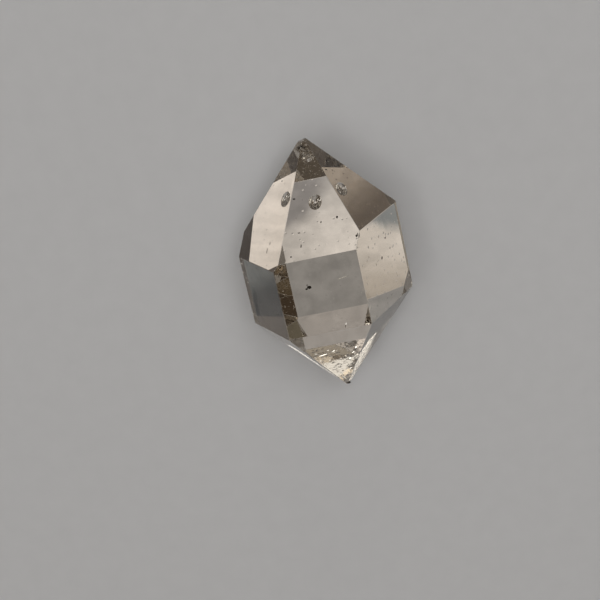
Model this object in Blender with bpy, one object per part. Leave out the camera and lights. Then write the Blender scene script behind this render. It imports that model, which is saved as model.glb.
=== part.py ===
# Double terminated quartz crystal, lying on one prism face
#
# A natural crystal with a point at both ends. It grew as one piece, so it is one closed solid: a six-sided
# prism, shut at each end by six slanted pyramid faces, with a tiny chip out of each point. The long axis
# runs along Y, the larger point is towards +Y, and the crystal lies on its bottom prism face at z = 0.

import math

import bmesh
import bpy
from mathutils import Vector

MM = 0.001

# Driving dimensions
# Quartz always grows with the same angles, so the shape is set by how far each growth face lies from the
# middle of the crystal. The distances are in millimetres, in the order of SIDES, which goes round the long
# axis from the top face by way of +X.
SIDES = ("top", "upper_right", "lower_right", "bottom", "lower_left", "upper_left")
PRISM_MM = (4.95, 4.89, 5.50, 4.95, 4.89, 5.16)
LARGE_POINT_MM = (5.62, 6.20, 6.72, 6.62, 6.17, 5.50)
SMALL_POINT_MM = (5.62, 5.55, 5.96, 6.18, 6.24, 5.85)

# A pyramid face's outward normal leans this far from the long axis, as on every quartz crystal.
PYRAMID_LEAN_DEG = 51.79

# Each point has lost its very tip. The depth is measured in from the sharp tip, along the chip's normal.
CHIPS = (
    {"end": 1, "normal": Vector((-0.33, 1.0, 0.10)), "depth_mm": 0.23},
    {"end": -1, "normal": Vector((0.30, -1.0, 0.10)), "depth_mm": 0.12},
)

ROUGH_BLOCK_MM = 40.0
ON_PLANE = 1e-7

QUARTZ_COLOUR = (0.80, 0.77, 0.72, 1.0)
QUARTZ_ROUGHNESS = 0.02
QUARTZ_IOR = 1.544


def clear_scene():
    for obj in list(bpy.data.objects):
        bpy.data.objects.remove(obj, do_unlink=True)


def around_axis(index):
    """Unit vector from the long axis towards side number index."""
    angle = math.radians(60.0 * index)
    return Vector((math.sin(angle), 0.0, math.cos(angle)))


def growth_faces():
    """(normal, distance in metres) of the prism and of the pyramid faces at both ends."""
    lean = math.radians(PYRAMID_LEAN_DEG)
    along = Vector((0.0, math.cos(lean), 0.0))
    faces = []
    for index in range(len(SIDES)):
        out = around_axis(index)
        faces.append((out, PRISM_MM[index] * MM))
        faces.append((out * math.sin(lean) + along, LARGE_POINT_MM[index] * MM))
        faces.append((out * math.sin(lean) - along, SMALL_POINT_MM[index] * MM))
    return faces


def cut_face(bm, point, normal):
    """Cuts away all that is outside the plane, and closes the cut with one flat face."""
    everything = bm.verts[:] + bm.edges[:] + bm.faces[:]
    cut = bmesh.ops.bisect_plane(
        bm, geom=everything, dist=ON_PLANE, plane_co=point, plane_no=normal, clear_outer=True
    )
    rim = [item for item in cut["geom_cut"] if isinstance(item, bmesh.types.BMEdge)]
    open_rim = [edge for edge in rim if edge.is_boundary]
    if open_rim:
        bmesh.ops.contextual_create(bm, geom=open_rim)


def chip_tip(bm, end, normal, depth_mm):
    """Takes the last bit of the point at +Y (end 1) or -Y (end -1) off with one small flat break."""
    tip = max(bm.verts, key=lambda vert: end * vert.co.y).co.copy()
    out = normal.normalized()
    cut_face(bm, tip - out * depth_mm * MM, out)


def lay_down(bm):
    """Moves the crystal so that it rests on z = 0, with the middle of its box over the origin."""
    low = Vector([min(vert.co[axis] for vert in bm.verts) for axis in range(3)])
    high = Vector([max(vert.co[axis] for vert in bm.verts) for axis in range(3)])
    middle = (low + high) / 2
    bmesh.ops.translate(bm, verts=bm.verts[:], vec=-Vector((middle.x, middle.y, low.z)))


def quartz_material():
    material = bpy.data.materials.new("smoky_clear_quartz")
    material.use_nodes = True
    shader = material.node_tree.nodes["Principled BSDF"]
    shader.inputs["Base Color"].default_value = QUARTZ_COLOUR
    shader.inputs["Roughness"].default_value = QUARTZ_ROUGHNESS
    shader.inputs["Metallic"].default_value = 0.0
    shader.inputs["IOR"].default_value = QUARTZ_IOR
    shader.inputs["Transmission Weight"].default_value = 1.0
    return material


def make_crystal():
    bm = bmesh.new()
    bmesh.ops.create_cube(bm, size=ROUGH_BLOCK_MM * MM)
    for normal, distance in growth_faces():
        cut_face(bm, normal * distance, normal)
    for chip in CHIPS:
        chip_tip(bm, chip["end"], chip["normal"], chip["depth_mm"])
    lay_down(bm)
    bmesh.ops.recalc_face_normals(bm, faces=bm.faces[:])
    mesh = bpy.data.meshes.new("quartz_crystal")
    bm.to_mesh(mesh)
    bm.free()
    mesh.materials.append(quartz_material())
    crystal = bpy.data.objects.new("quartz_crystal", mesh)
    bpy.context.scene.collection.objects.link(crystal)
    return crystal


clear_scene()
make_crystal()
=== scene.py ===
# %% [markdown]
# A clear quartz crystal with a point at both ends, about 19 mm long. It is a single natural
# crystal: flat growth faces, a faint smoky tint, a gas bubble and a few specks inside, and a
# cracked smaller point. The frame gives the true solid, and this lesson turns it into quartz.

import math
import random

import bmesh
import bpy
from mathutils import Matrix, Vector, noise
from mathutils.bvhtree import BVHTree


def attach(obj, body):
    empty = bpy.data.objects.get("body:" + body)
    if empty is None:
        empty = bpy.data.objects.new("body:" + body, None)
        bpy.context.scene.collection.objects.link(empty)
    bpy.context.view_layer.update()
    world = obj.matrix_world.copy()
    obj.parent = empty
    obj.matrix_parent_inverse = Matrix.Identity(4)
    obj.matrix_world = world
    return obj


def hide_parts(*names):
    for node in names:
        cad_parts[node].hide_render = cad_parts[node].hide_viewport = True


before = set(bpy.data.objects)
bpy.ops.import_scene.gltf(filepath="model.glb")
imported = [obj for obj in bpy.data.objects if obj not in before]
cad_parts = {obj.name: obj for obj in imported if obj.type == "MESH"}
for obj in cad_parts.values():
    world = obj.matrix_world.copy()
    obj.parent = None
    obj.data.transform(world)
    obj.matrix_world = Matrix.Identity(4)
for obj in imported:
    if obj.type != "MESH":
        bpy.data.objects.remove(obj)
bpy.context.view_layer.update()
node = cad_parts["quartz_crystal"]
MM = 0.001

# %% [markdown]
# Directions are given like a compass: azimuth 0 is +Y, where the larger point is, 90 is +X, and
# elevation is up from the floor. One function turns them into a vector, for the camera and for
# every light.

# %% Directions
def towards(azimuth, elevation):
    a, e = math.radians(azimuth), math.radians(elevation)
    return Vector((math.sin(a) * math.cos(e), math.cos(a) * math.cos(e), math.sin(e)))


print("the larger point lies towards", [round(c, 2) for c in towards(0, 0)])

# %% [markdown]
# The crystal lies on one of its long faces, and the camera looks down on it, turned so that the
# larger point is at the top of the picture. Its place was found by matching the crystal's corners
# with a photograph, which is why the numbers aren't round. A lens of 87 mm from about 10 cm away
# gives the mild perspective of a close-up.

# %% Camera
AIM_MM = (-2.249, -1.757, 5.783)
CAMERA_MM = 104.47
CAMERA_AZIMUTH = 14.31
CAMERA_ELEVATION = 68.26
CAMERA_ROLL = -177.78
LENS_MM = 86.8
NEAREST_SEEN_MM = 1.0

camera = bpy.data.objects.new("camera", bpy.data.cameras.new("camera"))
bpy.context.scene.collection.objects.link(camera)
back = towards(CAMERA_AZIMUTH, CAMERA_ELEVATION)
level = (-back).to_track_quat("-Z", "Y").to_matrix()
rolled = Matrix.Rotation(math.radians(CAMERA_ROLL), 3, back) @ level
camera.rotation_euler = rolled.to_euler()
camera.location = Vector(AIM_MM) * MM + back * CAMERA_MM * MM
camera.data.lens = LENS_MM
camera.data.clip_start = NEAREST_SEEN_MM * MM
bpy.context.scene.camera = camera
print("camera at", [round(c / MM, 1) for c in camera.location], "mm")

# %% [markdown]
# Colours are written as the sRGB hex values that a colour picker shows. Blender's shaders work with
# light, which is linear, so one function converts them with the numbers of the sRGB standard.
# Materials are trees of nodes, so a second small function adds one node with its settings and
# links.

# %% Colour and node helpers
def linear(hex_colour, strength=1.0):
    channels = [int(hex_colour[i : i + 2], 16) / 255 for i in (1, 3, 5)]
    light = [c / 12.92 if c <= 0.04045 else ((c + 0.055) / 1.055) ** 2.4 for c in channels]
    return (*[c * strength for c in light], 1.0)


def add_node(tree, kind, values=None, links=None, **settings):
    """Adds a node, sets its settings and unlinked inputs, and links inputs to other nodes' outputs."""
    made = tree.nodes.new(kind)
    for name, value in settings.items():
        setattr(made, name, value)
    for name, value in (values or {}).items():
        made.inputs[name].default_value = value
    for name, source in (links or {}).items():
        tree.links.new(source, made.inputs[name])
    return made


print("#808080 is", round(linear("#808080")[0], 3), "of full light")

# %% [markdown]
# What makes a clear crystal look like one is what it bends the eye towards. Each face shows another
# part of the room, so a plain white room would leave it flat. Photographers place white panels and
# black cards around glass, and the world does the same here: a grey room with soft-edged round
# panels, laid over each other in order.

# %% Studio panels
# what it is, azimuth, elevation, full to this many degrees, gone at this many, colour, strength
PANELS = (
    ("dark ceiling", 175, 78, 46, 54, "#52493e", 1.0),
    ("black card, right", 105, -8, 44, 56, "#443b32", 1.0),
    ("black card, behind", 166, 22, 22, 32, "#3b342c", 1.0),
    ("dark card, left", -126, 6, 13, 20, "#4d453c", 1.0),
    ("black card, low front right", 43, -37, 7, 14, "#2e2924", 1.0),
    ("black card, low right", 140, -52, 15, 22, "#4a3f34", 1.0),
    ("small card, front right", 38, 29, 9, 15, "#615a4c", 1.0),
    ("small card, left", -66, 18, 6, 12, "#504535", 1.0),
    ("brown card, low left", -130, -18, 18, 24, "#7b6c5c", 1.0),
    ("dark card, behind left", -152, -24, 5, 9, "#4f4439", 1.0),
    ("pale card, behind left", -141, -24.8, 1.5, 4.8, "#a39585", 1.0),
    ("slate card, low right", 118.5, -43.5, 3, 5, "#232624", 1.0),
    ("small grey card, low right", 116.6, -43.6, 0.9, 1.6, "#676865", 1.0),
    ("black corner, low right", 121, -42.2, 1.0, 2.6, "#060707", 1.0),
    ("small black card, low left", -71, -38, 5, 8.5, "#2c2822", 1.0),
    ("grey paper below", -60, -80, 10, 18, "#a09992", 1.0),
    ("white panel, low behind", -176, -38, 8, 14, "#e6ddd3", 1.0),
    ("soft grey card, low behind", -170, -46.5, 0.8, 3.6, "#bab3ab", 1.0),
    ("grey card, low behind", -171.1, -50.2, 1.9, 2.7, "#8b8682", 1.0),
    ("pale card, behind", -176, -20, 1.5, 4, "#b9b0a6", 1.0),
    ("white panel, low left", -124, -46, 9, 14, "#d8cdc0", 1.0),
    ("blue-grey card, low left", -111.9, -42.3, 3.5, 4.2, "#7f817f", 1.0),
    ("grey card, low left", -119, -37, 1.0, 3.2, "#a89c8d", 1.0),
    ("olive card, left", -111, -27, 4, 6.5, "#857c6e", 1.0),
    ("warm panel, low right", 151, -21, 9, 14, "#e8dccf", 1.0),
    ("strip light, right", 106.5, -14, 5.0, 7.5, "#fffaf0", 1.15),
    ("strip light, low right", 121, -27, 6.4, 8.2, "#fffaf0", 3.4),
    ("small warm panel, high right", 88, 46, 1.8, 3.0, "#a59b8b", 1.0),
    ("small white card, left", -66.5, -6, 2.5, 5, "#f4ead8", 2.2),
    ("small panel, low front", 37.9, -48.7, 1.5, 3.0, "#f4ead8", 1.5),
    ("small lamp, high front right", 54.9, 48.1, 1.5, 3.0, "#f4ead8", 2.2),
    ("softbox, left", -90, -4, 15, 21, "#f4ead8", 1.1),
    ("small bright panel, front", 10, 18, 3.5, 5.5, "#fffaf0", 3.0),
    ("small panel, low left", -63, -29, 3, 6, "#d8d4d0", 1.0),
    ("skylight", -14, 77, 3, 7, "#b8b0a8", 1.9),
    ("small bright lamp, high left", -75, 65, 4, 7, "#fffaf0", 3.0),
    ("black card, high right", 134, 50, 4, 8, "#352c25", 1.0),
)
print(len(PANELS), "panels and cards")

# %% [markdown]
# Each panel is a soft-edged disc on the sky. The dot product of the view and the panel's direction
# is highest at its middle, and a Map Range turns that into a mask. One Mix node for each panel lays
# its colour over what is there.

# %% Room
ROOM = "#8d8984"
# A Mix node has several sockets of one name, so those for colours are found by number.
FACTOR, UNDER, OVER, MIXED = 0, 6, 7, 2

world = bpy.data.worlds.new("studio room")
bpy.context.scene.world = world
world.use_nodes = True
room = world.node_tree
view = add_node(room, "ShaderNodeTexCoord").outputs["Generated"]
seen = add_node(room, "ShaderNodeRGB").outputs[0]
seen.default_value = linear(ROOM)
for name, azimuth, elevation, full, gone, colour, strength in PANELS:
    facing = add_node(
        room,
        "ShaderNodeVectorMath",
        {1: towards(azimuth, elevation)},
        {0: view},
        operation="DOT_PRODUCT",
    )
    soft = add_node(
        room,
        "ShaderNodeMapRange",
        {"From Min": math.cos(math.radians(gone)), "From Max": math.cos(math.radians(full))},
        {"Value": facing.outputs["Value"]},
        interpolation_type="SMOOTHSTEP",
    )
    panel = add_node(
        room,
        "ShaderNodeMix",
        {OVER: linear(colour, strength)},
        {FACTOR: soft.outputs["Result"], UNDER: seen},
        data_type="RGBA",
    )
    seen = panel.outputs[MIXED]
room.links.new(seen, room.nodes["Background"].inputs["Color"])
print(len(room.nodes), "nodes in the room")

# %% [markdown]
# Paper and cloth are never evenly bright. A fine noise makes the whole room waver by a few percent,
# and through the crystal that becomes the faint mottling of its pale faces.

# %% Crumpled paper
# noise cells across the view, so fine that each face shows many of them
CRUMPLES = 100.0
CRUMPLE_DETAIL = 3.0
NOISE_SPAN = (0.3, 0.7)
BRIGHTNESS_SPAN = (0.85, 1.14)
crumpled = add_node(
    room, "ShaderNodeTexNoise", {"Scale": CRUMPLES, "Detail": CRUMPLE_DETAIL}, {"Vector": view}
)
uneven = add_node(
    room,
    "ShaderNodeMapRange",
    {
        "From Min": NOISE_SPAN[0],
        "From Max": NOISE_SPAN[1],
        "To Min": BRIGHTNESS_SPAN[0],
        "To Max": BRIGHTNESS_SPAN[1],
    },
    {"Value": crumpled.outputs[0]},
)
room.links.new(uneven.outputs["Result"], room.nodes["Background"].inputs["Strength"])
print("the room wavers between", BRIGHTNESS_SPAN, "of its brightness")

# %% [markdown]
# Two large soft lights, one from the upper right and one overhead. They light the floor and shine
# on the faces, but the view through the crystal leaves them out, since they would fill the dark
# facets that give it its depth.

# %% Soft lights
def soft_light(name, azimuth, elevation, metres_away, metres_across, watts, mirrored):
    lamp = bpy.data.lights.new(name, "AREA")
    lamp.shape = "DISK"
    lamp.size = metres_across
    lamp.energy = watts
    placed = bpy.data.objects.new(name, lamp)
    bpy.context.scene.collection.objects.link(placed)
    way = towards(azimuth, elevation)
    placed.location = way * metres_away
    placed.rotation_euler = (-way).to_track_quat("-Z", "Y").to_euler()
    placed.visible_camera = False
    placed.visible_glossy = mirrored
    placed.visible_transmission = False
    print(name, "at", [round(c, 2) for c in placed.location], "m")


# name, azimuth, elevation, metres away, metres across, watts, mirrored in the faces
LIGHTS = (
    ("soft key light", 28, 62, 0.50, 0.27, 0.55, True),
    ("soft overhead light", -60, 80, 0.60, 0.70, 0.95, False),
)
for light in LIGHTS:
    soft_light(*light)

# %% [markdown]
# The floor is a pale sheet of card that curves up far away, so no horizon line shows behind the
# crystal. It starts as a disc, and its rim is extruded outwards and upwards in small steps. It lies
# a hair's breadth below the crystal, so that the two surfaces don't coincide, and the view through
# the crystal leaves it out, like the lights.

# %% Floor
FLOOR_RADIUS = 0.9
SWEEP_RADIUS = 0.3
SWEEP_STEPS = 16
FLOOR_SIDES = 96
FLOOR_GAP_MM = 0.02

bm = bmesh.new()
bmesh.ops.create_circle(bm, cap_ends=True, segments=FLOOR_SIDES, radius=FLOOR_RADIUS)
rim = bm.edges[:]
for step in range(SWEEP_STEPS):
    turned = [math.pi / 2 * k / SWEEP_STEPS for k in (step, step + 1)]
    out = [FLOOR_RADIUS + SWEEP_RADIUS * math.sin(t) for t in turned]
    up = [SWEEP_RADIUS * (1 - math.cos(t)) for t in turned]
    grown = bmesh.ops.extrude_edge_only(bm, edges=rim)["geom"]
    verts = [item for item in grown if isinstance(item, bmesh.types.BMVert)]
    rim = [item for item in grown if isinstance(item, bmesh.types.BMEdge) and item.is_boundary]
    bmesh.ops.scale(bm, verts=verts, vec=(out[1] / out[0], out[1] / out[0], 1))
    bmesh.ops.translate(bm, verts=verts, vec=(0, 0, up[1] - up[0]))
bmesh.ops.translate(bm, verts=bm.verts[:], vec=(0, 0, -FLOOR_GAP_MM * MM))
bmesh.ops.recalc_face_normals(bm, faces=bm.faces[:])
floor_mesh = bpy.data.meshes.new("floor")
bm.to_mesh(floor_mesh)
bm.free()
floor_mesh.shade_smooth()
floor = bpy.data.objects.new("floor", floor_mesh)
bpy.context.scene.collection.objects.link(floor)
floor.visible_transmission = False
print("floor", 2 * FLOOR_RADIUS, "m across, with a sweep of", SWEEP_RADIUS, "m")

# %% [markdown]
# Uncoated card is matt, so it has no shine at all, only the faint cloudiness of its pressed fibres.
# The clouds are drawn larger than real ones, since those are too fine to show.

# %% Card
PER_MM = 1 / MM
FIBRE_CLOUD_MM = 1.5
CLOUD_DETAIL = 3.0
CARD_ROUGHNESS = 0.9
card = bpy.data.materials.new("pale matt uncoated card")
card.use_nodes = True
card_face = card.node_tree.nodes["Principled BSDF"]
card_face.inputs["Roughness"].default_value = CARD_ROUGHNESS
card_face.inputs["Specular IOR Level"].default_value = 0.0
on_card = add_node(card.node_tree, "ShaderNodeTexCoord").outputs["Object"]
clouds = add_node(
    card.node_tree,
    "ShaderNodeTexNoise",
    {"Scale": PER_MM / FIBRE_CLOUD_MM, "Detail": CLOUD_DETAIL},
    {"Vector": on_card},
)
card_colour = add_node(
    card.node_tree,
    "ShaderNodeMix",
    {UNDER: linear("#d3d4d6"), OVER: linear("#d9dadc")},
    {FACTOR: clouds.outputs[0]},
    data_type="RGBA",
)
card.node_tree.links.new(card_colour.outputs[MIXED], card_face.inputs["Base Color"])
floor_mesh.materials.append(card)
print("card clouds", FIBRE_CLOUD_MM, "mm wide")

# %% [markdown]
# The outside of a quartz crystal is a set of flat growth faces at fixed angles. They could be cut
# by eye from a cylinder, but the angles decide where every facet shows, and the frame's solid
# already has them. So the clear piece is cut from a copy of it. The copy comes as loose triangles,
# so its corners are merged first and flat neighbours are joined into whole faces.

# %% Growth faces
MERGE_MM = 0.001
FLAT_DEG = 0.2

crystal = bmesh.new()
crystal.from_mesh(node.data)
bmesh.ops.remove_doubles(crystal, verts=crystal.verts[:], dist=MERGE_MM * MM)
bmesh.ops.dissolve_limit(
    crystal, angle_limit=math.radians(FLAT_DEG), verts=crystal.verts[:], edges=crystal.edges[:]
)
print(len(crystal.faces), "growth faces and chips")

# %% [markdown]
# Real edges are never perfectly sharp. Each gets a narrow flat cut, and smooth shading across it
# makes it round. A Bevel modifier could do it too, but where several edges meet it leaves small
# bent patches, which a clear solid magnifies, while one plane cut for each edge stays clean. Every
# edge longer than 0.03 mm is cut, because two large faces that share a corner would shade each other
# and look bent. The outer surface is kept for measuring, before anything is put inside the crystal.

# %% Worn edges
EDGE_WIDTH_MM = 0.04
SHORTEST_EDGE_MM = 0.03
ON_PLANE = 1e-8


def cut_away(bm, point, normal):
    cut = bmesh.ops.bisect_plane(
        bm,
        geom=bm.verts[:] + bm.edges[:] + bm.faces[:],
        dist=ON_PLANE,
        plane_co=point,
        plane_no=normal,
        clear_outer=True,
    )
    rim = [item for item in cut["geom_cut"] if isinstance(item, bmesh.types.BMEdge)]
    open_rim = [edge for edge in rim if edge.is_boundary]
    if open_rim:
        bmesh.ops.contextual_create(bm, geom=open_rim)


cuts = []
for edge in crystal.edges:
    if edge.calc_length() > SHORTEST_EDGE_MM * MM:
        one, other = [face.normal for face in edge.link_faces]
        depth = EDGE_WIDTH_MM * MM / 2 * math.tan(edge.calc_face_angle() / 2)
        out = (one + other).normalized()
        cuts.append((edge.verts[0].co - out * depth, out))
for point, out in cuts:
    cut_away(crystal, point, out)
bmesh.ops.recalc_face_normals(crystal, faces=crystal.faces[:])
surface = BVHTree.FromBMesh(crystal)
print(len(cuts), "edges worn,", len(crystal.faces), "faces now")

# %% [markdown]
# A gas bubble was caught near the middle while the crystal grew. It is a hollow, slightly longer
# than it is wide, and it shows three times, because three faces look at it. A hollow in a clear
# solid could be cut with a Boolean, but a closed ball turned inside out gives the same light for
# far less work.

# %% Gas bubble
BUBBLE_MM = (0.2, 3.05, 1.55)
BUBBLE_SIZE_MM = (0.96, 1.22, 0.92)
BUBBLE_TURN = -14
BUBBLE_SEGMENTS = 48
BUBBLE_RINGS = 32
# the radius of a ball 1 across, which is then scaled to its size
UNIT_BALL = 0.5


def turn_inside_out(bm, verts):
    bmesh.ops.reverse_faces(bm, faces=list({face for vert in verts for face in vert.link_faces}))


bubble = bmesh.ops.create_uvsphere(
    crystal, u_segments=BUBBLE_SEGMENTS, v_segments=BUBBLE_RINGS, radius=UNIT_BALL
)["verts"]
bmesh.ops.scale(crystal, verts=bubble, vec=Vector(BUBBLE_SIZE_MM) * MM)
bmesh.ops.rotate(crystal, verts=bubble, matrix=Matrix.Rotation(math.radians(BUBBLE_TURN), 3, "Z"))
bmesh.ops.translate(crystal, verts=bubble, vec=Vector(BUBBLE_MM) * MM)
turn_inside_out(crystal, bubble)
print("gas bubble of", BUBBLE_SIZE_MM, "mm")

# %% [markdown]
# Near the smaller point the crystal was knocked, and small cracks opened there. A crack in quartz
# is a thin film of air. Light that meets it at a slant is thrown back whole, so it flashes like
# foil when it faces the right way. White marks in a texture would never flash or go dark as the
# view changes, so the films are real ones. Each film is a ball pressed flat, slightly crumpled and
# turned inside out, like the bubble. It is set by the way it faces, so that it can be turned until
# it catches a strip light.

# %% Crack films
CRACK_THICK_MM = 0.008
CRUMPLE_MM = 0.0012
CRUMPLE_SIZE_MM = 0.22
RIM_STEEPNESS = 3
CRACK_FINENESS = 4
# the picture's own sideways direction, in the frame of the crystal
PICTURE_RIGHT = Vector((0.98, -0.21, -0.01))


def add_crack(bm, middle, azimuth, elevation, turn, length, width, fineness=CRACK_FINENESS):
    verts = bmesh.ops.create_icosphere(bm, subdivisions=fineness, radius=UNIT_BALL)["verts"]
    for vert in verts:
        place = Vector((vert.co.x * length, vert.co.y * width, 0.0))
        side = max(-UNIT_BALL, min(UNIT_BALL, vert.co.z * RIM_STEEPNESS))
        crumple = noise.noise((place + Vector(middle)) / CRUMPLE_SIZE_MM) * CRUMPLE_MM
        vert.co = (place + Vector((0, 0, side * CRACK_THICK_MM + crumple))) * MM
    facing = towards(azimuth, elevation)
    across = facing.cross(PICTURE_RIGHT).normalized()
    along = across.cross(facing)
    frame_of_crack = Matrix((along, across, facing)).transposed().to_4x4()
    turned = frame_of_crack @ Matrix.Rotation(math.radians(turn), 4, "Z")
    bmesh.ops.transform(bm, matrix=Matrix.Translation(Vector(middle) * MM) @ turned, verts=verts)
    turn_inside_out(bm, verts)


print("crack films", CRACK_THICK_MM, "mm thick")

# %% [markdown]
# The cracks that catch the eye are listed one by one: a long bright streak in two parts, a row of
# sparks below it, one upright flash, and a fine scratch just under the top face.

# %% Large cracks
# middle in mm, the way it faces (azimuth, elevation), turn in its own plane, length and width in mm
CRACKS = (
    ((-1.35, -5.37, 7.15), -5, 50, 22, 0.72, 0.12),
    ((-0.68, -5.16, 7.32), 127, 40, 22, 0.64, 0.12),
    ((-0.26, -4.75, 8.17), 165, 30, 0, 0.18, 0.12),
    ((0.04, -5.09, 7.90), 145, 35, 0, 0.14, 0.12),
    ((0.66, -4.92, 8.03), -120, 45, 0, 0.20, 0.12),
    ((1.11, -5.19, 7.82), 128, 40, 0, 0.18, 0.12),
    ((0.80, -5.71, 7.41), 128, 40, 15, 0.30, 0.10),
    ((-0.98, -6.13, 7.08), -5, 50, 30, 0.22, 0.10),
    ((0.46, -6.34, 6.91), 128, 40, 15, 0.34, 0.10),
    ((0.86, -2.75, 9.50), 100, 45, 75, 0.42, 0.09),
    ((1.39, 0.80, 9.66), 155, 40, -8, 1.00, 0.035),
)
for crack in CRACKS:
    add_crack(crystal, *crack)
print(len(CRACKS), "large cracks")

# %% [markdown]
# Between them the point is full of tiny cracks, too many to place by hand. They are scattered with
# a fixed seed, in the wedge behind the point's top face, and each faces one of a few ways that
# catch the lights. One that would come through the surface is left out. The same function finds
# places for dust later.

# %% Swarm of tiny cracks
SWARM = 120
SWARM_SEED = 5
# the ways that a tiny crack may face, as azimuth and elevation
SWARM_FACES = ((125, 40), (145, 35), (-120, 45), (-5, 50), (-15, 40), (-110, 50), (130, 20))
SWARM_SPREAD = 6
SWARM_TURN = (-40, 60)
SWARM_TIP_MM = (-0.2, -9.3)
SWARM_FROM_MM = -4.8
# the wedge's half width for each mm from its tip
SWARM_NARROWING = 0.56
SWARM_DEEP_MM = (0.12, 0.7)
SWARM_LONG_MM = (0.12, 0.38)
SWARM_WIDE_MM = (0.08, 0.18)
SWARM_FINENESS = 3
ABOVE_MM = 20
LEAST_UPWARD = 0.3


def below_surface(x, y, depth):
    """The point this deep under the face seen from above at x and y, in mm, or None beside it."""
    hit, normal = surface.ray_cast(Vector((x, y, ABOVE_MM)) * MM, Vector((0, 0, -1)))[:2]
    return hit / MM - normal * depth if hit and normal.z > LEAST_UPWARD else None


dice = random.Random(SWARM_SEED)
opened = 0
for _ in range(SWARM):
    y = dice.uniform(SWARM_TIP_MM[1], SWARM_FROM_MM)
    half = SWARM_NARROWING * (y - SWARM_TIP_MM[1])
    x = SWARM_TIP_MM[0] + dice.uniform(-half, half)
    middle = below_surface(x, y, dice.uniform(*SWARM_DEEP_MM))
    azimuth, elevation = [
        way + dice.uniform(-SWARM_SPREAD, SWARM_SPREAD) for way in dice.choice(SWARM_FACES)
    ]
    turn = dice.uniform(*SWARM_TURN)
    long, wide = dice.uniform(*SWARM_LONG_MM), dice.uniform(*SWARM_WIDE_MM)
    if middle is not None and surface.find_nearest(middle * MM)[3] > long / 2 * MM:
        add_crack(crystal, middle[:], azimuth, elevation, turn, long, wide, SWARM_FINENESS)
        opened += 1
print(opened, "tiny cracks")

# %% [markdown]
# Quartz also traps bubbles too small to see into, which show as bright or dark dots. They are small
# uneven balls, turned inside out. The same uneven ball serves for specks of dirt, so its size is
# given as it shows in the picture.

# %% Tiny bubbles
PICTURE_UP = Vector((0.19, 0.91, -0.37))
PICTURE_BACK = PICTURE_RIGHT.cross(PICTURE_UP)
PICTURE_FRAME = Matrix((PICTURE_RIGHT, PICTURE_UP, PICTURE_BACK)).transposed().to_4x4()
GRAIN_FINENESS = 3
BUMP_SCALE = 3.5
BUMP_SHIFT = 5
TINY_UNEVEN = 0.3
# middle in mm, width and height in the picture, in mm
TINY_BUBBLES = (
    ((2.95, 3.35, 9.0), 0.10, 0.26),
    ((-0.3, -5.6, 6.8), 0.08, 0.08),
    ((0.4, -6.6, 5.9), 0.09, 0.08),
)


def add_grain(bm, middle, wide, high, uneven):
    verts = bmesh.ops.create_icosphere(bm, subdivisions=GRAIN_FINENESS, radius=UNIT_BALL)["verts"]
    for vert in verts:
        vert.co *= 1 + uneven * noise.noise(vert.co * BUMP_SCALE + Vector(middle) * BUMP_SHIFT)
    bmesh.ops.scale(bm, verts=verts, vec=(wide * MM, high * MM, min(wide, high) * MM))
    placed = Matrix.Translation(Vector(middle) * MM) @ PICTURE_FRAME
    bmesh.ops.transform(bm, matrix=placed, verts=verts)
    return verts


for middle, wide, high in TINY_BUBBLES:
    turn_inside_out(crystal, add_grain(crystal, middle, wide, high, TINY_UNEVEN))
print(len(TINY_BUBBLES), "tiny bubbles")

# %% [markdown]
# The water that the crystal grew in carried iron stained clay, and grains of it were sealed in,
# mostly just under the faces. Others fill the chips at both points. Each is an uneven ball. The
# larger ones are placed one by one, as a maker would copy a specimen. They could be painted on, but
# real grains also show through the other faces, bent by the quartz.

# %% Dark specks
GRAIN_UNEVEN = 0.5
# middle in mm, width and height in the picture, in mm
SPECKS = (
    ((-1.18, -0.07, 6.98), 0.30, 0.20),
    ((-1.40, -0.15, 7.02), 0.16, 0.12),
    ((-1.30, 0.12, 6.95), 0.10, 0.08),
    ((-0.95, 6.03, 6.74), 0.18, 0.10),
    ((-1.01, 3.29, 8.90), 0.08, 0.24),
    ((-1.00, 4.09, 8.39), 0.18, 0.07),
    ((-1.82, 2.83, 9.38), 0.12, 0.09),
    ((0.63, 4.46, 8.10), 0.07, 0.18),
    ((1.78, 4.56, 8.02), 0.12, 0.17),
    ((2.87, 3.28, 9.01), 0.13, 0.17),
    ((-3.35, 2.81, 7.40), 0.06, 0.40),
    ((-3.09, 3.38, 7.37), 0.06, 0.20),
    ((-1.57, 6.87, 4.73), 0.12, 0.10),
    ((3.93, 0.60, 6.76), 0.14, 0.22),
    ((4.54, 1.80, 6.20), 0.14, 0.10),
    ((4.73, 0.87, 5.87), 0.10, 0.10),
    ((1.50, 7.30, 5.58), 0.18, 0.10),
    ((-0.20, -9.33, 4.78), 0.30, 0.22),
    ((0.00, 9.02, 4.65), 0.26, 0.16),
    ((0.22, 9.06, 4.62), 0.24, 0.14),
    ((0.38, 8.96, 4.70), 0.16, 0.12),
)
specks = bmesh.new()
for middle, wide, high in SPECKS:
    add_grain(specks, middle, wide, high, GRAIN_UNEVEN)
print(len(SPECKS), "specks")

# %% [markdown]
# Finer dust lies under all the upper faces. Its exact places don't matter, so it is scattered a
# little below the surface, with a fixed seed, so that it comes out the same each time.

# %% Dust
DUST = 60
DUST_SEED = 11
DUST_MM = (0.02, 0.045)
DUST_DEEP_MM = (0.08, 0.5)
# the corners of the patch that is dusted, seen from above
DUST_FROM_MM = (-4.4, -1.0)
DUST_TO_MM = (5.2, 8.0)

dice = random.Random(DUST_SEED)
settled = 0
for _ in range(DUST):
    x = dice.uniform(DUST_FROM_MM[0], DUST_TO_MM[0])
    y = dice.uniform(DUST_FROM_MM[1], DUST_TO_MM[1])
    size = dice.uniform(*DUST_MM)
    middle = below_surface(x, y, dice.uniform(*DUST_DEEP_MM))
    if middle is not None:
        add_grain(specks, middle[:], size, size, GRAIN_UNEVEN)
        settled += 1
print(settled, "grains of dust")

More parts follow.
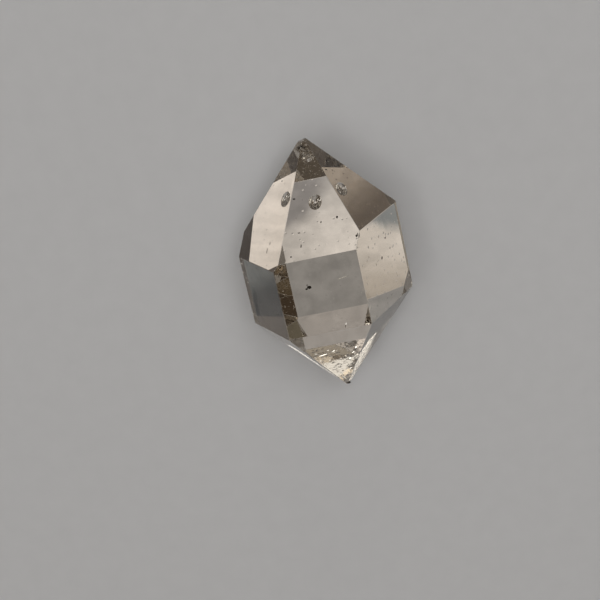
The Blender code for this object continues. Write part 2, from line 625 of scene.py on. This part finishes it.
# %% [markdown]
# Iron stained clay is a dull dark brown, and no two grains are quite alike: it takes light without
# any shine, and its colour wanders from nearly black to a rusty grey. A fine noise mixes the two.
# All grains are one mesh, since they are one finish and none of them can be lifted out.

# %% Iron stained clay
GRIT_MM = 0.06
GRIT_DETAIL = 2.0
CLAY_ROUGHNESS = 0.8
speck_mesh = bpy.data.meshes.new("dark_specks")
specks.to_mesh(speck_mesh)
specks.free()
speck_mesh.shade_smooth()
dark = bpy.data.objects.new("dark_specks", speck_mesh)
bpy.context.scene.collection.objects.link(dark)
stain = bpy.data.materials.new("dark iron stained clay")
stain.use_nodes = True
clay = stain.node_tree.nodes["Principled BSDF"]
clay.inputs["Roughness"].default_value = CLAY_ROUGHNESS
in_clay = add_node(stain.node_tree, "ShaderNodeTexCoord").outputs["Object"]
grit = add_node(
    stain.node_tree,
    "ShaderNodeTexNoise",
    {"Scale": PER_MM / GRIT_MM, "Detail": GRIT_DETAIL},
    {"Vector": in_clay},
)
clay_colour = add_node(
    stain.node_tree,
    "ShaderNodeMix",
    {UNDER: linear("#2c261f"), OVER: linear("#4f463b")},
    {FACTOR: grit.outputs[0]},
    data_type="RGBA",
)
stain.node_tree.links.new(clay_colour.outputs[MIXED], clay.inputs["Base Color"])
speck_mesh.materials.append(stain)
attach(dark, "root")
print("one piece of specks and dust,", len(speck_mesh.polygons), "faces")

# %% [markdown]
# The solid and all its hollows become one mesh. Smooth shading alone would bend the flat faces near
# their edges. The Weighted Normal modifier lets the largest face at each corner decide, so faces
# stay flat and only the worn edges are rounded.

# %% Clear piece
LARGEST_FACE_DECIDES = 100
clear_mesh = bpy.data.meshes.new("clear_quartz_crystal")
crystal.to_mesh(clear_mesh)
crystal.free()
clear_mesh.shade_smooth()
clear = bpy.data.objects.new("clear_quartz_crystal", clear_mesh)
bpy.context.scene.collection.objects.link(clear)
weights = clear.modifiers.new("flat faces", "WEIGHTED_NORMAL")
weights.mode = "FACE_AREA"
weights.weight = LARGEST_FACE_DECIDES
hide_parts("quartz_crystal")
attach(clear, "root")
print(len(clear_mesh.polygons), "faces in the clear piece")

# %% [markdown]
# Quartz is a hard, clear mineral that bends light by 1.544. Its natural faces are as smooth as
# glass, so the body has no roughness and no colour of its own. The faint smoky tint comes from
# radiation in the rock, and it sits in the depth of the crystal. A tinted surface would colour thin
# and thick parts alike, while an absorbing volume makes long paths browner than short ones, as in
# the real one.

# %% Smoky quartz
QUARTZ_IOR = 1.544
SMOKE_COLOUR = "#a2884b"
SMOKE_DENSITY = 20.0
quartz = bpy.data.materials.new("smoky clear quartz, natural growth faces")
quartz.use_nodes = True
tree = quartz.node_tree
glass = tree.nodes["Principled BSDF"]
glass.inputs["Base Color"].default_value = (1, 1, 1, 1)
glass.inputs["IOR"].default_value = QUARTZ_IOR
glass.inputs["Transmission Weight"].default_value = 1.0
smoke = add_node(
    tree, "ShaderNodeVolumeAbsorption", {"Color": linear(SMOKE_COLOUR), "Density": SMOKE_DENSITY}
)
tree.links.new(smoke.outputs["Volume"], tree.nodes["Material Output"].inputs["Volume"])
clear_mesh.materials.append(quartz)
print("quartz with index", QUARTZ_IOR)

# %% [markdown]
# The smaller point is etched and slightly frosted, so it glitters instead of mirroring. The frost
# is a little roughness, and the etching a noise that is used as a height. Both fade in along the
# crystal: the Y coordinate, put through a smooth Map Range, is their mask.

# %% Etching and frost near the small point
ROUGH_FROM_MM = -3.9
ROUGH_FULL_MM = -5.6
TIP_ROUGHNESS = 0.03
ETCH_MM = 0.45
ETCH_HIGH_MM = 0.004
ETCH_DETAIL = 3.0
place = add_node(tree, "ShaderNodeTexCoord").outputs["Object"]
along = add_node(tree, "ShaderNodeSeparateXYZ", links={0: place}).outputs["Y"]
near_tip = add_node(
    tree,
    "ShaderNodeMapRange",
    {"From Min": ROUGH_FROM_MM * MM, "From Max": ROUGH_FULL_MM * MM},
    {"Value": along},
    interpolation_type="SMOOTHSTEP",
).outputs["Result"]
frost = add_node(tree, "ShaderNodeMath", {1: TIP_ROUGHNESS}, {0: near_tip}, operation="MULTIPLY")
tree.links.new(frost.outputs[0], glass.inputs["Roughness"])
etching = add_node(
    tree, "ShaderNodeTexNoise", {"Scale": PER_MM / ETCH_MM, "Detail": ETCH_DETAIL}, {"Vector": place}
)
etch_height = add_node(
    tree, "ShaderNodeMath", {1: ETCH_HIGH_MM * MM}, {0: etching.outputs[0]}, operation="MULTIPLY"
)
print("etched from y =", ROUGH_FROM_MM, "mm")

# %% [markdown]
# The other faces aren't perfect mirrors either. Low hillocks from growth make the view through them
# waver, and small pits dot them. Hillocks are a broad noise, and pits are the middles of a cell
# pattern. All heights are in metres and are added up for one Bump node, since a second one would
# hide the first.

# %% Hillocks and pits
HILLOCK_MM = 1.3
HILLOCK_HIGH_MM = 0.0014
HILLOCK_DETAIL = 1.0
PIT_APART_MM = 0.62
PIT_WIDE_MM = 0.10
PIT_DEEP_MM = 0.006
hillocks = add_node(
    tree,
    "ShaderNodeTexNoise",
    {"Scale": PER_MM / HILLOCK_MM, "Detail": HILLOCK_DETAIL},
    {"Vector": place},
)
pits = add_node(tree, "ShaderNodeTexVoronoi", {"Scale": PER_MM / PIT_APART_MM}, {"Vector": place})
pit_height = add_node(
    tree,
    "ShaderNodeMapRange",
    {"From Min": PIT_WIDE_MM / PIT_APART_MM, "From Max": 0.0, "To Max": -PIT_DEEP_MM * MM},
    {"Value": pits.outputs["Distance"]},
    interpolation_type="SMOOTHERSTEP",
)
face_height = add_node(
    tree,
    "ShaderNodeMath",
    {1: HILLOCK_HIGH_MM * MM},
    {0: hillocks.outputs[0], 2: pit_height.outputs["Result"]},
    operation="MULTIPLY_ADD",
)
height = add_node(
    tree,
    "ShaderNodeMath",
    links={0: etch_height.outputs[0], 1: near_tip, 2: face_height.outputs[0]},
    operation="MULTIPLY_ADD",
)
relief = add_node(
    tree, "ShaderNodeBump", {"Strength": 1.0, "Distance": 1.0}, {"Height": height.outputs[0]}
)
tree.links.new(relief.outputs["Normal"], glass.inputs["Normal"])
print("hillocks", HILLOCK_MM, "mm wide and pits", PIT_APART_MM, "mm apart")

# %% [markdown]
# A ray may bounce between the faces many times before it leaves, so the light paths are long. Light
# that the crystal gathers on the floor is kept as well. The Standard view keeps colours as they
# were picked.

# %% Light paths and colour
BOUNCES = 32
FLOOR_BOUNCES = 4
scene = bpy.context.scene
scene.cycles.max_bounces = BOUNCES
scene.cycles.transmission_bounces = BOUNCES
scene.cycles.glossy_bounces = BOUNCES
scene.cycles.diffuse_bounces = FLOOR_BOUNCES
scene.cycles.caustics_reflective = True
scene.cycles.caustics_refractive = True
scene.cycles.use_denoising = True
scene.view_settings.view_transform = "Standard"
print("up to", BOUNCES, "bounces")

# %% [markdown]
# The names of the finished pieces are printed.

# %% Finished pieces
print("pieces:", clear.name, "and", dark.name)
